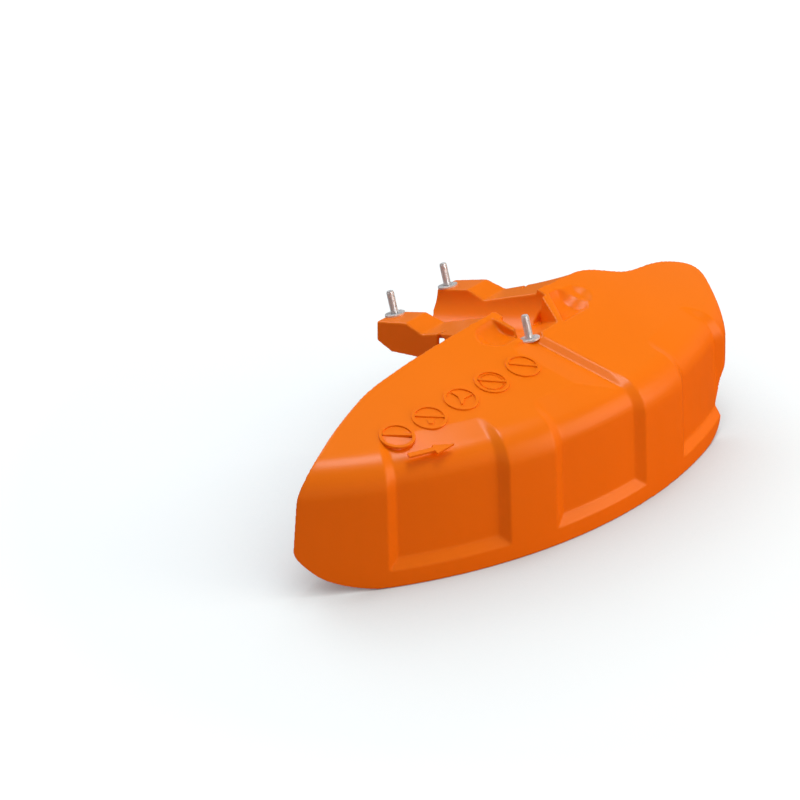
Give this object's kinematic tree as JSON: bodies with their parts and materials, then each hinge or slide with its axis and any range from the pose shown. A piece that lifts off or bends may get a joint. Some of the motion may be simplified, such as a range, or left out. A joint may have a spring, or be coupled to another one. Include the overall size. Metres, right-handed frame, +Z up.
{
  "type": "trimmer blade guard",
  "caption": "Moulded guard for a grass trimmer: a curved hood and skirt over part of the cutting circle, with ears, a tube cradle and upright mounting screws.",
  "frame": {"origin": "middle of the footprint, on the plane of the skirt's lower edge", "axes": "+Z up from the plane of the skirt's lower edge, -Y outwards from the cutting head towards the operator, +X towards the shorter wing"},
  "size_m": [0.3628, 0.1894, 0.0997],
  "materials": {
    "moulding": "gloss",
    "steel": "zinc plated"
  },
  "bodies": {
    "root": {"guard_shell": "moulding", "screw_left": "steel", "screw_right": "steel", "screw_front": "steel", "washer_left": "steel", "washer_right": "steel", "washer_front": "steel"}
  },
  "joints": []
}
